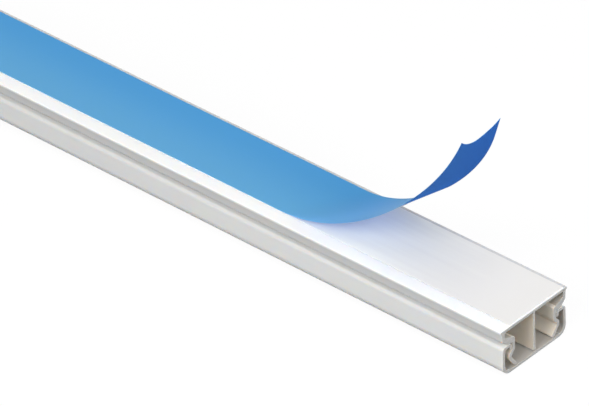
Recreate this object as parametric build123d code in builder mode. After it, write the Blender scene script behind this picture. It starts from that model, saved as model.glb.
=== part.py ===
"""Cord cover raceway: a sprung cover over a two-channel base with a peel-off adhesive back.

The raceway lies on the face of its cover, as it does while the liner is peeled off its back.
X runs along the raceway, Y across it and Z up from the cover's face to the adhesive back.
The origin is the middle of the cover's face. Sizes are millimetres.
"""

import os
from math import cos, degrees, radians, sin, tan

from build123d import *

# Overall sizes
raceway_length = 400.0
raceway_width = 32.0
side_lean = 0.25

# Base: a back plate with a skirt, a notch, a snap leg and a foot along each side, and a divider
plate_thickness = 1.0
edge_nib = 0.6
edge_round = 0.25
base_wall = 1.1
skirt_depth = 4.3
notch_depth = 2.5
web_thickness = 1.4
leg_inset = 4.9
snap_bulge = 1.6
bulge_height = 1.2
foot_lean = 36.0
foot_gap = 0.3
inside_bend = 0.25
divider_thickness = 0.8
divider_gap = 0.7

# Cover: a shallow trough whose rims turn in and down to hook over the bulge of each leg
cover_height = 10.7
cover_wall = 1.0
cover_corner = 3.5
hook_depth = 2.5
notch_gap = 2.5
snap_clearance = 0.3

# Adhesive tape on the back, set towards the far side
tape_thickness = 0.15
tape_near_margin = 5.0
tape_far_margin = 1.3
tape_end_margin = 0.7

# Release liner: its tail is peeled from the front end and curls up along skewed fold lines
liner_thickness = 0.15
peel_from_end = 90.5
tail_length = 86.2
tail_slant = 4.6
peel_radius = 34.6
middle_radius = 91.2
tip_radius = 37.1
peel_skew = 29.0
tip_skew = -35.4
curl_folds = 33
curl_sections = 16

# Heights and places that follow from those sizes
raceway_height = cover_height + notch_gap + skirt_depth
tape_height = raceway_height + tape_thickness
tape_length = raceway_length - 2 * tape_end_margin
tape_width = raceway_width - tape_near_margin - tape_far_margin
tape_middle = (tape_near_margin - tape_far_margin) / 2
wall_face = raceway_width / 2 - edge_nib
leg_face = wall_face - leg_inset
back_end = Plane.YZ.offset(-raceway_length / 2)


# Base channel: skirt and notched web in one outline, the snap leg a bent strip below it, mirrored
plate_under = raceway_height - plate_thickness
skirt_end = raceway_height - skirt_depth
skirt_edge = wall_face - side_lean
ledge = cover_height + snap_clearance
ledge_edge = skirt_edge - notch_depth
leg_inside = leg_face - base_wall
leg_middle = leg_face - base_wall / 2
bulge_middle = leg_middle + snap_bulge
hook_end = cover_height - hook_depth
bulge_top = hook_end - snap_clearance - snap_bulge
bulge_end = bulge_top - bulge_height
foot_end = cover_wall + foot_gap + base_wall / 2
foot_middle = bulge_middle - (bulge_end - foot_end) * tan(radians(foot_lean))
divider_height = raceway_height - cover_wall - divider_gap

with BuildPart() as base_channel:
    with BuildSketch(back_end):
        with BuildLine():
            inside = FilletPolyline(
                (wall_face - base_wall, plate_under),
                (skirt_edge - base_wall, skirt_end + base_wall),
                (leg_inside, ledge + web_thickness),
                (leg_inside, ledge),
                radius=inside_bend,
            )
            Polyline(
                inside @ 1,
                (leg_face, ledge),
                (ledge_edge, ledge),
                (skirt_edge, skirt_end),
                (wall_face, plate_under),
                inside @ 0,
            )
        make_face()
        with BuildLine():
            FilletPolyline(
                (leg_middle, ledge),
                (leg_middle, bulge_top + snap_bulge),
                (bulge_middle, bulge_top),
                (bulge_middle, bulge_end),
                (foot_middle, foot_end),
                radius=inside_bend + base_wall / 2,
            )
        trace(line_width=base_wall)
        with Locations((foot_middle, foot_end)):
            Circle(base_wall / 2)
        mirror(about=Plane.YZ)
        with Locations((0, raceway_height)):
            RectangleRounded(
                raceway_width, plate_thickness, edge_round, align=(Align.CENTER, Align.MAX)
            )
            Rectangle(divider_thickness, divider_height, align=(Align.CENTER, Align.MAX))
    extrude(amount=raceway_length)

base_channel.part.label = "base_channel"


# Snap cover: floor, walls and hooked rims are one bent strip of the same thickness
cover_middle = wall_face - cover_wall / 2
rim_middle = cover_height - cover_wall / 2
hook_middle = leg_face + snap_clearance + cover_wall / 2
hook_tip = hook_end + cover_wall / 2
bend = inside_bend + cover_wall / 2
corner = cover_corner - cover_wall / 2

with BuildPart() as snap_cover:
    with BuildSketch(back_end):
        with BuildLine():
            FilletPolyline(
                (-hook_middle, hook_tip),
                (-hook_middle, rim_middle),
                (side_lean - cover_middle, rim_middle),
                (-cover_middle, cover_wall / 2),
                (cover_middle, cover_wall / 2),
                (cover_middle - side_lean, rim_middle),
                (hook_middle, rim_middle),
                (hook_middle, hook_tip),
                radius=[bend, bend, corner, corner, bend, bend],
            )
        trace(line_width=cover_wall)
        with Locations((-hook_middle, hook_tip), (hook_middle, hook_tip)):
            Circle(cover_wall / 2)
    extrude(amount=raceway_length)

snap_cover.part.label = "snap_cover"


# Adhesive tape: a flat strip on the back plate
with BuildPart() as adhesive_tape:
    with BuildSketch(Plane.XY.offset(raceway_height)):
        with Locations((0, tape_middle)):
            Rectangle(tape_length, tape_width)
    extrude(amount=tape_thickness)

adhesive_tape.part.label = "adhesive_tape"


# Release liner: flat on the tape, then folded a little at a time about skewed lines
fold_pitch = tail_length / curl_folds
peel_place = Location((raceway_length / 2 - peel_from_end, tape_middle, tape_height))


def fold_bend(share):
    """Degrees turned by the fold at this share of the tail: tight at both ends, slack between."""
    end_radius = peel_radius if share < 0.5 else tip_radius
    curve = 1 / middle_radius + (1 / end_radius - 1 / middle_radius) * (2 * share - 1) ** 2
    return degrees(curve * fold_pitch)


def curled(along, across):
    """Where a point of the flat liner goes, measured from the middle of the peel line."""
    place = peel_place
    for fold in range(curl_folds):
        share = (fold + 0.5) / curl_folds
        skew = radians(peel_skew + (tip_skew - peel_skew) * share)
        fold_middle = share * tail_length
        if along < fold_middle + across * tan(skew):
            break
        hinge = Location((0, 0, 0), (sin(skew), cos(skew), 0), -fold_bend(share))
        place = place * Location((fold_middle, 0, 0)) * hinge * Location((-fold_middle, 0, 0))
    return (place * Location((along, across, 0))).position


def liner_section(along, slant):
    """The plane and width of the liner's cross-section there, cut askew by the slant."""
    near = curled(along + slant / 2, -tape_width / 2)
    far = curled(along - slant / 2, tape_width / 2)
    across = far - near
    forward = curled(along + fold_pitch, 0) - curled(along - fold_pitch, 0)
    normal = forward.cross(across)
    middle = (near + far) / 2
    return Plane(middle, x_dir=across, z_dir=across.cross(normal)), across.length


flat_start = peel_from_end - raceway_length + tape_end_margin
curl_start = -tape_width / 2 * tan(radians(peel_skew)) - fold_pitch

with BuildPart() as release_liner:
    sections = [liner_section(flat_start, 0)]
    for section in range(curl_sections + 1):
        share = section / curl_sections
        along = curl_start + (tail_length - curl_start) * share
        sections.append(liner_section(along, tail_slant * share))
    for plane, width in sections:
        with BuildSketch(plane):
            Rectangle(width, liner_thickness, align=(Align.CENTER, Align.MIN))
    loft(ruled=True)

release_liner.part.label = "release_liner"


# One file for each piece
os.makedirs("parts", exist_ok=True)
for piece in (base_channel, snap_cover, adhesive_tape, release_liner):
    export_step(piece.part, f"parts/{piece.part.label}.step")
    print(piece.part.label, piece.part.bounding_box())
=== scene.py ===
# %% [markdown]
# # A cord cover raceway with its film half peeled
#
# A raceway is a slim plastic duct that hides cables along a wall. This one lies on the face of its
# cover, as it does on a bench while the blue film is pulled off its sticky back. The base, the cover
# and the tape come from the CAD frame with their shapes right, so they only need a finish. The film
# is thin, soft and curled, so it is modelled here.

# %% Load the frame and keep its box
from math import cos, radians, sin, tan

import bmesh
import bpy
from mathutils import Matrix, Vector


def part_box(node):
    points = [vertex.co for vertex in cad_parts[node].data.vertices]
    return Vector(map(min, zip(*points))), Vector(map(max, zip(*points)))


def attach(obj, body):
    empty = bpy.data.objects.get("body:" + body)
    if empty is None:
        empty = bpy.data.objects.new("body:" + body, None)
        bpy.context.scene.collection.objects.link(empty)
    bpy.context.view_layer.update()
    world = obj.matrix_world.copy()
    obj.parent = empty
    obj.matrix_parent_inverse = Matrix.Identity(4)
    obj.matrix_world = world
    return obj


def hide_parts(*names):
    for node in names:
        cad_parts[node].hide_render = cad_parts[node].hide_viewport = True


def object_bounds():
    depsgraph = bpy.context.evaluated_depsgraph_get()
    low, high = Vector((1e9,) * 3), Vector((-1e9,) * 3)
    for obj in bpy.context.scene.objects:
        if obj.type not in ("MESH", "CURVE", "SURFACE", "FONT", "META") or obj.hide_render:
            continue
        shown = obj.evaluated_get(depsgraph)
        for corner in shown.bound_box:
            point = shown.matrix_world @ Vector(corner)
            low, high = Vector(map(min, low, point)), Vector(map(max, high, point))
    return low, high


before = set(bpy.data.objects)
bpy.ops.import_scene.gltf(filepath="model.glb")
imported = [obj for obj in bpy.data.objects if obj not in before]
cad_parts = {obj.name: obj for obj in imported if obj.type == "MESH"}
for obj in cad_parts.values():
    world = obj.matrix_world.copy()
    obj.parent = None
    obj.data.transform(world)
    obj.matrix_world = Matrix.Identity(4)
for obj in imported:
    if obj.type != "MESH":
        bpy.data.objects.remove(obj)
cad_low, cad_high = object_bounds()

MM = 0.001
print("CAD nodes", sorted(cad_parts))
print("CAD box in mm", [round(c / MM, 2) for c in (*cad_low, *cad_high)])

# %% [markdown]
# ## The camera
#
# The photograph looks down on the peeled end from the front right, through a long lens that hardly
# narrows the duct with distance. The camera could be placed by eye, but straight edges of a known
# size pin it down: the angles, the distance and the lens were fitted to the edges of the back plate
# and the corners of the sawn end. It then only has to be aimed at a point of the raceway.

# %% Aim the camera
view_azimuth = 43.404
view_elevation = 35.588
view_roll = -2.5
view_distance = 1937.2 * MM
aim = Vector((125.28, -27.66, 40.09)) * MM
sensor_width = 36.0
lens = 376.6

turn = Matrix.Rotation(radians(view_azimuth), 4, "Z")
tilt = Matrix.Rotation(radians(90 - view_elevation), 4, "X")
roll = Matrix.Rotation(radians(view_roll), 4, "Z")
looking = turn @ tilt @ roll
bpy.ops.object.camera_add()
camera = bpy.context.object
camera.name = "photo_camera"
camera.data.sensor_width = sensor_width
camera.data.lens = lens
camera.matrix_world = Matrix.Translation(aim) @ looking @ Matrix.Translation((0, 0, view_distance))
bpy.context.scene.camera = camera
print("camera at", [round(c, 3) for c in camera.matrix_world.translation])

# %% [markdown]
# ## Shader maths as sums
#
# Every finish below is a small sum of patterns. A node editor draws such a sum as a web of Math
# nodes. Here one class wraps a node's output, so the sum can be typed: `1 - mask * 0.5` adds the two
# Math nodes by itself. Any other node comes from the method `node`, which sets the node's own
# settings first and then fills or links its inputs.

# %% A class for node outputs
class Value:
    """One output of a node. Sums of Values add Math nodes to the same tree."""

    def __init__(self, socket):
        self.socket = socket

    @classmethod
    def node(cls, tree, kind, settings=None, inputs=None, output=0):
        """Adds a node, applies its settings, then fills or links the inputs that are given."""
        made = tree.nodes.new(kind)
        for name, setting in (settings or {}).items():
            setattr(made, name, setting)
        for name, given in (inputs or {}).items():
            if isinstance(given, cls):
                tree.links.new(given.socket, made.inputs[name])
            else:
                made.inputs[name].default_value = given
        return cls(made.outputs[output])

    def output(self, name):
        """Another output of the same node."""
        return Value(self.socket.node.outputs[name])

    def math(self, operation, first, second=0.0):
        """A Math node in the tree that this output belongs to."""
        tree = self.socket.id_data
        return Value.node(tree, "ShaderNodeMath", {"operation": operation}, {0: first, 1: second})

    def __add__(self, other):
        return self.math("ADD", self, other)

    def __sub__(self, other):
        return self.math("SUBTRACT", self, other)

    def __rsub__(self, other):
        return self.math("SUBTRACT", other, self)

    def __mul__(self, other):
        return self.math("MULTIPLY", self, other)

    def __gt__(self, other):
        return self.math("GREATER_THAN", self, other)

    def __lt__(self, other):
        return self.math("LESS_THAN", self, other)

    def __abs__(self):
        return self.math("ABSOLUTE", self)

    __radd__ = __add__
    __rmul__ = __mul__


# %% Patterns that the finishes share
noise_middle = 0.5


def noise(tree, place, scale=1.0, detail=2.0):
    """Cloudy noise from 0 to 1. The scale is in lumps per metre."""
    inputs = {"Vector": place, "Scale": scale, "Detail": detail}
    return Value.node(tree, "ShaderNodeTexNoise", {}, inputs)


def stretched(tree, place, scale, turned=(0.0, 0.0, 0.0)):
    """The same coordinates, scaled and turned, so that round noise becomes streaks."""
    inputs = {"Vector": place, "Scale": scale, "Rotation": turned}
    return Value.node(tree, "ShaderNodeMapping", {"vector_type": "POINT"}, inputs)


def ramp(tree, value, low, high):
    """A soft step from 0 at low to 1 at high."""
    inputs = {"Value": value, "From Min": low, "From Max": high}
    return Value.node(tree, "ShaderNodeMapRange", {"interpolation_type": "SMOOTHSTEP"}, inputs)


def spread(tree, pattern, reach):
    """Noise whose values within that reach of its middle are spread over 0 to 1."""
    return ramp(tree, pattern, noise_middle - reach, noise_middle + reach)


# %% Colours and surfaces that the finishes share
def new_finish(name):
    """An empty material and its node tree."""
    material = bpy.data.materials.new(name)
    material.use_nodes = True
    material.node_tree.nodes.clear()
    return material, material.node_tree


def blend(tree, factor, first, second):
    """A colour between two colours."""
    inputs = {0: factor, 6: first, 7: second}
    return Value.node(tree, "ShaderNodeMix", {"data_type": "RGBA"}, inputs, output=2)


def shade(colour, amount):
    """The same colour, darker below 1 and lighter above."""
    red, green, blue, alpha = colour
    return red * amount, green * amount, blue * amount, alpha


def bump(tree, height, distance):
    """A normal that makes the surface look uneven by that distance, in metres."""
    return Value.node(tree, "ShaderNodeBump", {}, {"Height": height, "Distance": distance})


def finish_surface(tree, shader):
    """Links the finished shader to the material's output."""
    output = tree.nodes.new("ShaderNodeOutputMaterial")
    tree.links.new(shader.socket, output.inputs["Surface"])


# %% [markdown]
# ## Floor and light
#
# The photograph is cut out on white. A floor of white paint would throw much light back up the sawn
# end and the underside of the curl, which the photograph keeps dark. So the floor is dark to the
# light that scatters off it, and it glows white to the camera and in reflections. The dark part
# still takes the shadow. The Light Path node tells which kind of ray asks.

# %% Tell who sees the white backdrop
def sees_backdrop(tree):
    """1 for rays from the camera and for mirrored or refracted ones, 0 for scattered ones."""
    ray = Value.node(tree, "ShaderNodeLightPath")
    clear = ray.output("Is Camera Ray") + ray.output("Is Glossy Ray") + ray.output("Is Transmission Ray")
    return clear * (1 - ray.output("Is Diffuse Ray"))


# %% Lay the floor
floor_size = 12.0
floor_grey = (0.08, 0.08, 0.08, 1.0)
floor_glow = 0.92

bpy.ops.object.select_all(action="DESELECT")
bpy.ops.mesh.primitive_plane_add(size=floor_size)
floor = bpy.context.object
floor.name = "floor"
paper, tree = new_finish("floor_paper")
seen = sees_backdrop(tree)
matt = Value.node(tree, "ShaderNodeBsdfDiffuse", {}, {"Color": floor_grey})
glow = Value.node(tree, "ShaderNodeEmission", {}, {"Strength": seen * floor_glow})
finish_surface(tree, Value.node(tree, "ShaderNodeAddShader", {}, {0: matt, 1: glow}))
floor.data.materials.append(paper)
print("floor", floor_size, "m square")

# %% [markdown]
# The raceway stands among four soft boxes, as in a light tent: one in front of the near side, one
# low on the right that shines in under the curl, a weaker one high on the right and one overhead.
# Their strengths were fitted to the brightness of the white plastic in the photograph. Two small
# reflectors stand low, one behind the raceway and one close to its back end, so that the sides
# which the photograph hides can be seen too. The room itself is dim, and it is white only to the
# camera and in reflections.

# %% Light the room
room_light = 0.10
room_white = 1.0

world = bpy.data.worlds.new("pale_room")
world.use_nodes = True
world.node_tree.nodes.clear()
tree = world.node_tree
seen = sees_backdrop(tree)
strength = room_light + seen * (room_white - room_light)
sky = Value.node(tree, "ShaderNodeBackground", {}, {"Strength": strength})
output = tree.nodes.new("ShaderNodeOutputWorld")
tree.links.new(sky.socket, output.inputs["Surface"])
bpy.context.scene.world = world
bpy.context.scene.view_settings.view_transform = "Standard"
print("room light", room_light)

# %% Set up the lamps
lit_point = Vector((0.10, 0.0, 0.016))
lamp_distance = 1.2
box_size = 0.9
plate_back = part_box("base_channel")[1][2]
back_end = Vector((cad_low.x, 0.0, plate_back / 2))


def soft_box(name, direction, size, power, point=lit_point, distance=lamp_distance):
    """A round lamp that shines on a point from that direction."""
    towards = Vector(direction).normalized()
    bpy.ops.object.light_add(type="AREA", location=point + towards * distance)
    lamp = bpy.context.object
    lamp.name = name
    lamp.data.shape = "DISK"
    lamp.data.size = size
    lamp.data.energy = power
    lamp.rotation_euler = towards.to_track_quat("Z", "Y").to_euler()
    lamp.visible_camera = False
    print(name, "at", [round(c, 2) for c in lamp.location])


soft_box("front_soft_box", (0.10, -0.81, 0.58), size=box_size, power=10.6)
soft_box("right_soft_box", (0.92, -0.15, 0.34), size=box_size, power=8.2)
soft_box("high_soft_box", (0.50, -0.20, 0.84), size=box_size, power=2.0)
soft_box("top_soft_box", (0.15, 0.0, 0.99), size=box_size, power=4.4)
soft_box("back_reflector", (0.42, 0.88, 0.22), size=0.5, power=5.5)
soft_box("end_reflector", (-0.90, 0.15, 0.40), size=0.12, power=0.36, point=back_end, distance=0.22)

# %% [markdown]
# ## White PVC
#
# The base and the cover are extruded: hot PVC is pushed through a steel die, which draws very fine
# lines along the duct and leaves a satin skin. Inside, the colour is painted shade: a warm cream in the
# base, a darker grey in the cover, and darker still in the pockets beside the legs. Painted shade also
# greys the notch, the skirts and a thin line along the far edge. The ends are sawn, so they are rough
# with the marks of the blade across them, and their grey is painted shade. One finish could be
# painted on each face by hand, but all these parts lie at known places, so masks made from the
# coordinates find them.

# %% Find the parts of the section
channel_side = 10.6 * MM
wall_side = 14.6 * MM
skin_depth = 0.5 * MM
sawn_skin = 0.05 * MM
floor_low = 0.6 * MM
floor_high = 1.6 * MM
hook_low = 9.9 * MM
notch_low = 9.3 * MM
notch_high = 10.3 * MM
pocket_low = 12.3 * MM
pocket_high = 14.4 * MM
plate_edge = 1.0 * MM
tape_low, tape_high = (Vector(corner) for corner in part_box("adhesive_tape"))


def section_masks(tree, place):
    """Masks for the sawn ends and for the places where shade is painted: inside, pockets, notch, far
    edge.
    """
    split = Value.node(tree, "ShaderNodeSeparateXYZ", {}, {0: place})
    across = abs(split.output("Y"))
    up = split.output("Z")
    sawn = abs(split.output("X")) > cad_high.x - sawn_skin
    trough = ramp(tree, up, floor_low, floor_high) * (up < hook_low)
    widened = trough + ramp(tree, up, pocket_low, pocket_high)
    side = channel_side + widened * (wall_side - channel_side)
    # The inside of the duct, where its painted shade goes.
    inside = (across < side) * (up > skin_depth) * (up < plate_back - skin_depth)
    # The pockets beside the legs, darkened further by painted shade.
    pocket = inside * (up > pocket_low) * (across > channel_side)
    # The notch and the skirts, greyed by painted shade.
    notch = ramp(tree, up, notch_low, notch_high) * (up < plate_back - plate_edge)
    # A thin line along the far edge, greyed by painted shade.
    greying = (split.output("Y") > tape_high.y) * (up > plate_back - skin_depth)
    return {"sawn": sawn, "inside": inside, "pocket": pocket, "notch": notch, "greying": greying}


print("inside", round(2 * channel_side / MM, 1), "mm wide between the legs")
print("inside", round(2 * wall_side / MM, 1), "mm wide between the walls")

# %% Colour the PVC
pvc_white = (0.90, 0.90, 0.89, 1)
# The inside colours are painted shade: warm in the base, a darker grey in the cover.
base_inside_painted_shade = (0.80, 0.75, 0.67, 1)
cover_inside_painted_shade = (0.47, 0.45, 0.42, 1)
# The grey of the sawn ends is painted shade.
sawn_painted_shade = (0.46, 0.455, 0.445, 1)
# Painted shade for a thin line along the far edge of the back plate.
far_edge_painted_shade = (0.58, 0.58, 0.58, 1)
cloud_scale = 45.0
cloud_reach = 0.2
cloud_shade = 0.98
# Painted shade in the notch under the skirts and on the skirts.
notch_painted_shade = 0.84
# Painted shade in the pockets beside the legs, under the plate.
pocket_painted_shade = 0.62
blade_reach = 0.15
blade_shade = 0.9


def pvc_colour(tree, place, masks, marks, inner_painted_shade):
    """White, with painted shade inside, in the notch, along the far edge and on the sawn ends."""
    clouds = spread(tree, noise(tree, place, cloud_scale), cloud_reach)
    skin = blend(tree, clouds, pvc_white, shade(pvc_white, cloud_shade))
    # Painted shade: the notch and skirts, the inside, its pockets and the far edge line.
    skin = blend(tree, masks["notch"], skin, shade(pvc_white, notch_painted_shade))
    skin = blend(tree, masks["inside"], skin, inner_painted_shade)
    skin = blend(tree, masks["pocket"], skin, shade(inner_painted_shade, pocket_painted_shade))
    skin = blend(tree, masks["greying"], skin, far_edge_painted_shade)
    # The sawn ends: painted shade, with the blade's marks.
    cut = blend(tree, spread(tree, marks, blade_reach), sawn_painted_shade, shade(sawn_painted_shade, blade_shade))
    return blend(tree, masks["sawn"], skin, cut)


# %% [markdown]
# Light soaks about a millimetre into PVC, so thin walls glow and the inside isn't black. A paler
# colour would lighten the outside as well, so a constant subsurface gives that. The die lines and
# the blade's marks are too fine to model: a bump of a hundredth of a millimetre shows them.

# %% Make the PVC finish
die_lines = (6, 1400, 1400)
die_detail = 3.0
blade_marks = (1, 260, 2600)
blade_turn = (radians(28), 0, 0)
blade_depth = 2.0
grain_scale = 2600.0
grain_depth = 0.4
pvc_relief = 0.01 * MM
satin_roughness = 0.48
line_roughness = 0.10
sawn_roughness = 0.25
pvc_index = 1.53
soak = (1.0, 0.85, 0.7)
soak_depth = 1.0 * MM


def pvc_finish(name, inner_painted_shade):
    """Satin white PVC with die lines along X, faint clouds, sawn ends and painted shade."""
    material, tree = new_finish(name)
    place = Value.node(tree, "ShaderNodeTexCoord", output="Object")
    masks = section_masks(tree, place)
    sawn = masks["sawn"]
    lines = noise(tree, stretched(tree, place, die_lines), detail=die_detail)
    marks = noise(tree, stretched(tree, place, blade_marks, blade_turn))
    grain = noise(tree, place, grain_scale)
    height = lines * (1 - sawn) + marks * sawn * blade_depth + grain * grain_depth
    shader = Value.node(tree, "ShaderNodeBsdfPrincipled", {}, {
        "Base Color": pvc_colour(tree, place, masks, marks, inner_painted_shade),
        "Roughness": satin_roughness + lines * line_roughness + sawn * sawn_roughness,
        "Normal": bump(tree, height, pvc_relief),
        "IOR": pvc_index,
        "Subsurface Weight": 1.0,
        "Subsurface Radius": soak,
        "Subsurface Scale": soak_depth,
    })
    finish_surface(tree, shader)
    return material


def wear(node, material):
    """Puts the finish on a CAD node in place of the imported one."""
    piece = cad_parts[node]
    piece.data.materials.clear()
    piece.data.materials.append(material)
    print(node, "wears", material.name)


wear("base_channel", pvc_finish("base_pvc", base_inside_painted_shade))
wear("snap_cover", pvc_finish("cover_pvc", cover_inside_painted_shade))

# %% [markdown]
# ## Adhesive tape
#
# The tape is a thin white foam with tacky glue on it, softly shiny and very slightly uneven. Near the
# peel line, under the film and where the film has just left it, its colour is lighter: painted light
# under the curl. A ramp along the strip, with noise in it, fades this painted light in faint streaks
# towards the bare end.

# %% Make the tape finish
# Painted light: a lighter white near the peel line, the tape's own white further on.
painted_light_white = (0.93, 0.94, 0.86, 1)
tape_white = (0.75, 0.735, 0.71, 1)
peeled_length = 90.5 * MM
peel_line = cad_high.x - peeled_length
painted_light_reach = 10.0 * MM
plain_end_reach = 20.0 * MM
streak_reach = 20.0 * MM
fade_streaks = (20, 500, 500)
foam_scale = 1800.0
foam_detail = 3.0
tape_relief = 0.01 * MM
tape_roughness = 0.42
foam_roughness = 0.2


def tape_finish():
    """White foam with painted light near the peel line that fades in streaks, and a fine grain."""
    material, tree = new_finish("tacky_tape")
    place = Value.node(tree, "ShaderNodeTexCoord", output="Object")
    along = Value.node(tree, "ShaderNodeSeparateXYZ", {}, {0: place}, output="X")
    streaks = noise(tree, stretched(tree, place, fade_streaks))
    foam = noise(tree, place, foam_scale, foam_detail)
    # The painted light fades out along the strip in streaks; greying is 1 where it has gone.
    reached = along + (streaks - noise_middle) * streak_reach
    greying = ramp(tree, reached, peel_line + painted_light_reach, cad_high.x - plain_end_reach)
    shader = Value.node(tree, "ShaderNodeBsdfPrincipled", {}, {
        "Base Color": blend(tree, greying, painted_light_white, tape_white),
        "Roughness": tape_roughness + foam * foam_roughness,
        "Normal": bump(tree, foam, tape_relief),
    })
    finish_surface(tree, shader)
    return material


wear("adhesive_tape", tape_finish())

# %% [markdown]
# ## Release film
#
# The film is a strip of thin plastic that can bend but not stretch. A cloth simulation would let it
# stretch and sag. A real film only rolls: at each place it bends about one straight line. So the
# strip is cut flat, scored along many fold lines that fan from one slant to the other, and folded a
# little at each line, from the loose tip back to the peel line. It is as wide as the tape and lies a
# hair above it, because light can't pass between two faces in the same place.

# %% Cut the strip flat
film_width = tape_high.y - tape_low.y
film_middle = (tape_high.y + tape_low.y) / 2
glue_gap = 0.02 * MM
film_rest = tape_high.z + glue_gap
tail_length = 83.1 * MM
loose_end = peel_line + tail_length
strip_length = loose_end - tape_low.x
strip_middle = (loose_end + tape_low.x) / 2
column_count = 18

bpy.ops.object.select_all(action="DESELECT")
bpy.ops.mesh.primitive_plane_add(size=1.0, enter_editmode=True)
film = bpy.context.object
film.name = "peeled_film"
bpy.ops.transform.resize(value=(strip_length, film_width, 1.0))
bpy.ops.transform.translate(value=(strip_middle, film_middle, film_rest))
columns = [tape_low.y + film_width * number / column_count for number in range(column_count + 1)]
for across in columns[1:-1]:
    bpy.ops.mesh.select_all(action="SELECT")
    bpy.ops.mesh.bisect(plane_co=(0, across, 0), plane_no=(0, 1, 0))
print("flat strip", round(strip_length / MM, 1), "mm long in", column_count, "columns")

# %% [markdown]
# The loose end is cut straight across, but a fingernail picked it up by its near corner, which the
# pull has drawn out into a small horn. The far corner is drawn out a little too. Each point of the
# end edge is moved along the strip by what the pull added there.

# %% Draw out the corners of the loose end
near_horn = 5.6 * MM
near_reach = 13.0 * MM
far_horn = 1.0 * MM
far_reach = 6.0 * MM
speck = 0.01 * MM


def drawn_out(across):
    """How far the pull has drawn the end edge out at that place across the strip."""
    near_share = max(0.0, 1 - (across - tape_low.y) / near_reach)
    far_share = max(0.0, 1 - (tape_high.y - across) / far_reach)
    return near_horn * near_share ** 2 + far_horn * far_share ** 2


for across in columns:
    shape = bmesh.from_edit_mesh(film.data)
    for vertex in shape.verts:
        at_end = vertex.co.x > loose_end - speck
        vertex.select = at_end and abs(vertex.co.y - across) < speck
    shape.select_flush(True)
    bpy.ops.transform.translate(value=(drawn_out(across), 0, 0))
shape = bmesh.from_edit_mesh(film.data)
film_area = sum(face.calc_area() for face in shape.faces)
flat_length = strip_length + near_horn
print("film", round(flat_length / MM, 1), "mm long,", round(film_area / MM ** 2), "square mm")

# %% [markdown]
# In the photograph the film bends tightly at the peel line, only a little along its tail and tightly
# again at the tip. The tail also twists, because the fold lines slant one way at the peel line and
# the other way at the tip. A Simple Deform modifier bends about one axis alone, so each fold line
# gets its own slant and its own small bend, and bisect scores it into the strip.

# %% Score the fold lines
curl_length = 86.2 * MM
peel_radius = 34.6 * MM
middle_radius = 91.2 * MM
tip_radius = 37.1 * MM
peel_skew = 29.0
tip_skew = -35.4
fold_count = 66

folds = []
for number in range(fold_count):
    share = (number + 0.5) / fold_count
    skew = radians(peel_skew + (tip_skew - peel_skew) * share)
    end_radius = peel_radius if share < 0.5 else tip_radius
    curve = 1 / middle_radius + (1 / end_radius - 1 / middle_radius) * (2 * share - 1) ** 2
    folds.append((share * curl_length, skew, curve * curl_length / fold_count))
for along, skew, _ in folds:
    bpy.ops.mesh.select_all(action="SELECT")
    bpy.ops.mesh.bisect(
        plane_co=(peel_line + along, film_middle, film_rest),
        plane_no=(cos(skew), -sin(skew), 0.0),
    )
print(fold_count, "fold lines, from", peel_skew, "to", tip_skew, "degrees")

# %% [markdown]
# Now all that lies beyond a fold line is turned about that line. The fold nearest the tip comes
# first: every other line then still lies in the flat part of the strip, so its place is known.

# %% Fold the strip from its tip back
shape = bmesh.from_edit_mesh(film.data)
flat = {vertex.index: vertex.co.copy() for vertex in shape.verts}


def beyond(point, along, skew):
    """True for a point of the flat strip on the loose side of a fold line."""
    across = point.y - film_middle
    return point.x - peel_line - along - across * tan(skew) > speck


for along, skew, bend in reversed(folds):
    shape = bmesh.from_edit_mesh(film.data)
    for vertex in shape.verts:
        vertex.select = beyond(flat[vertex.index], along, skew)
    shape.select_flush(True)
    hinge = Vector((sin(skew), cos(skew), 0.0))
    side = Vector((cos(skew), -sin(skew), 0.0))
    axes = Matrix((side, Vector((0, 0, 1)), hinge)).transposed()
    bpy.ops.transform.rotate(
        value=-bend,
        orient_axis="Z",
        orient_type="GLOBAL",
        orient_matrix=axes,
        orient_matrix_type="GLOBAL",
        constraint_axis=(False, False, True),
        center_override=(peel_line + along, film_middle, film_rest),
    )
bpy.ops.object.mode_set(mode="OBJECT")
film_low = [min(vertex.co[axis] for vertex in film.data.vertices) for axis in range(3)]
film_high = [max(vertex.co[axis] for vertex in film.data.vertices) for axis in range(3)]
print("film box in mm", [round(c / MM, 2) for c in (*film_low, *film_high)])

# %% [markdown]
# A film a tenth of a millimetre thick could stay a bare surface, but its underside has a finish of
# its own. Solidify gives it a second skin, whose faces come after those of the first. So they can be
# marked with an attribute that the material reads.

# %% Give the film its thickness
film_thickness = 0.10 * MM
smooth_angle = radians(30)

folded_faces = len(film.data.polygons)
bpy.ops.object.modifier_add(type="SOLIDIFY")
film.modifiers["Solidify"].thickness = film_thickness
film.modifiers["Solidify"].offset = 1.0
bpy.ops.object.modifier_apply(modifier="Solidify")
bpy.ops.object.shade_smooth_by_angle(angle=smooth_angle)
underside = film.data.attributes.new("underside", "FLOAT", "FACE")
for face in film.data.polygons[folded_faces : 2 * folded_faces]:
    underside.data[face.index].value = 1.0
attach(film, "root")
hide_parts("release_liner")
print("film with", len(film.data.polygons), "faces")
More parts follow.
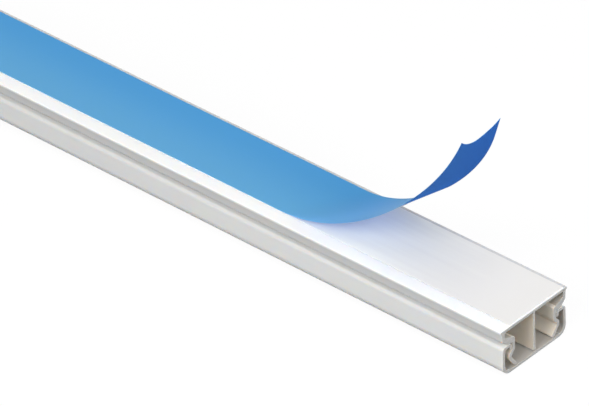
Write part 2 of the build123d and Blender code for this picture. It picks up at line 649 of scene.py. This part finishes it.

# %% [markdown]
# The film is dyed polythene. Its top is frosted, and a little paler towards the near edge. About half
# of the light passes the frost, which turns the tape under the curl blue and helps make the underside a
# deep blue. Glass would let the tape show sharply through it, so a translucent shader, which scatters
# what it passes, is mixed into the plastic one. The underside is coated so that it lets go of the
# glue, and its colour is a much darker blue than the top: painted shade. Seen at a very low angle,
# the coat mirrors what is around it: a Layer Weight node finds that angle.

# %% Make the film finish
near_blue = (0.235, 0.72, 1.0, 1)
far_blue = (0.155, 0.62, 1.0, 1)
# The underside's dark blue is painted shade.
underside_painted_shade = (0.02, 0.08, 0.35, 1)
through_blue = (0.33, 0.52, 0.85, 1)
top_passes = 0.52
underside_passes = 1.0
glance_start = 0.945
glance_full = 0.965
draw_streaks = (3, 40, 1)
streak_wander = 0.2
film_relief = 0.02 * MM
frosted_roughness = 0.35
coated_roughness = 0.12
film_index = 1.2
coat_index = 2.2


def film_finish():
    """Blue film, lighter towards its near edge, with faint draw streaks and an underside in painted
    shade.
    """
    material, tree = new_finish("blue_film")
    place = Value.node(tree, "ShaderNodeUVMap", {"uv_map": "UVMap"})
    below = Value.node(tree, "ShaderNodeAttribute", {"attribute_name": "underside"}, output="Fac")
    across = Value.node(tree, "ShaderNodeSeparateXYZ", {}, {0: place}, output="Y")
    facing = Value.node(tree, "ShaderNodeLayerWeight", output="Facing")
    glance = below * ramp(tree, facing, glance_start, glance_full)
    streaks = noise(tree, stretched(tree, place, draw_streaks))
    far_side = ramp(tree, across + (streaks - noise_middle) * streak_wander, 0.0, 1.0)
    frosted = blend(tree, far_side, near_blue, far_blue)
    skin = Value.node(tree, "ShaderNodeBsdfPrincipled", {}, {
        "Base Color": blend(tree, below, frosted, underside_painted_shade),
        "Roughness": frosted_roughness - below * (frosted_roughness - coated_roughness),
        "Normal": bump(tree, streaks, film_relief),
        "IOR": film_index,
        "Coat Weight": glance,
        "Coat IOR": coat_index,
    })
    through = Value.node(tree, "ShaderNodeBsdfTranslucent", {}, {"Color": through_blue})
    passes = top_passes + below * (underside_passes - top_passes) - glance
    finish_surface(tree, Value.node(tree, "ShaderNodeMixShader", {}, {0: passes, 1: skin, 2: through}))
    return material


film.data.materials.append(film_finish())
print("film wears", film.data.materials[0].name)
